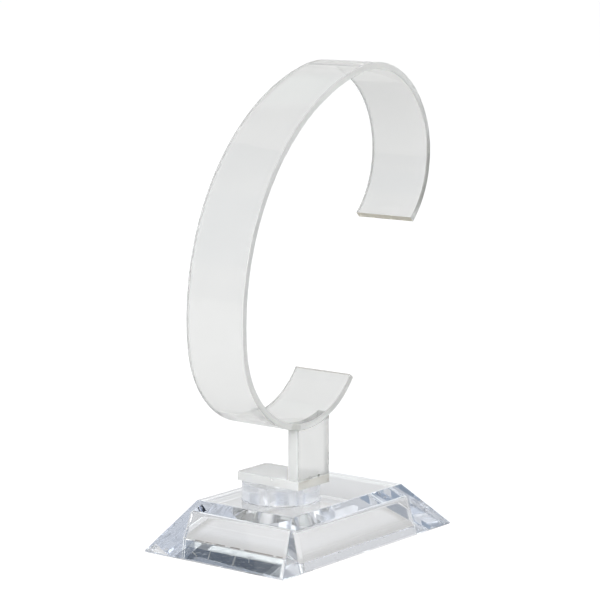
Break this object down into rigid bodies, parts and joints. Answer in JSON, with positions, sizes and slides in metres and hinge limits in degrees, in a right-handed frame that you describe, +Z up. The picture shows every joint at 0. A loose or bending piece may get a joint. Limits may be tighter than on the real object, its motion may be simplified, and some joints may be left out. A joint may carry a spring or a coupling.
{
  "type": "watch stand",
  "caption": "Clear display stand whose open, leaning C-shaped strip holds a closed watch above a bevelled base.",
  "frame": {"origin": "bottom centre of the whole stand: midway between the C's leftmost and rightmost points, midway across the base, at the rim it stands on", "axes": "+Z up; +X along the base's long side, towards the side the C opens to; +Y across the base, away from the face where foot plate, post and strip are flush"},
  "size_m": [0.0706, 0.04, 0.1095],
  "materials": {
    "base": "clear, moulded, polished, faintly blue",
    "foot_plate": "clear sheet, faintly grey-green",
    "post": "clear sheet, faintly grey-green",
    "c_ring": "clear heat-bent sheet, glossy faces, sawn ends"
  },
  "bodies": {
    "root": {"base": "base", "foot_plate": "foot_plate", "post": "post", "c_ring": "c_ring"}
  },
  "joints": []
}
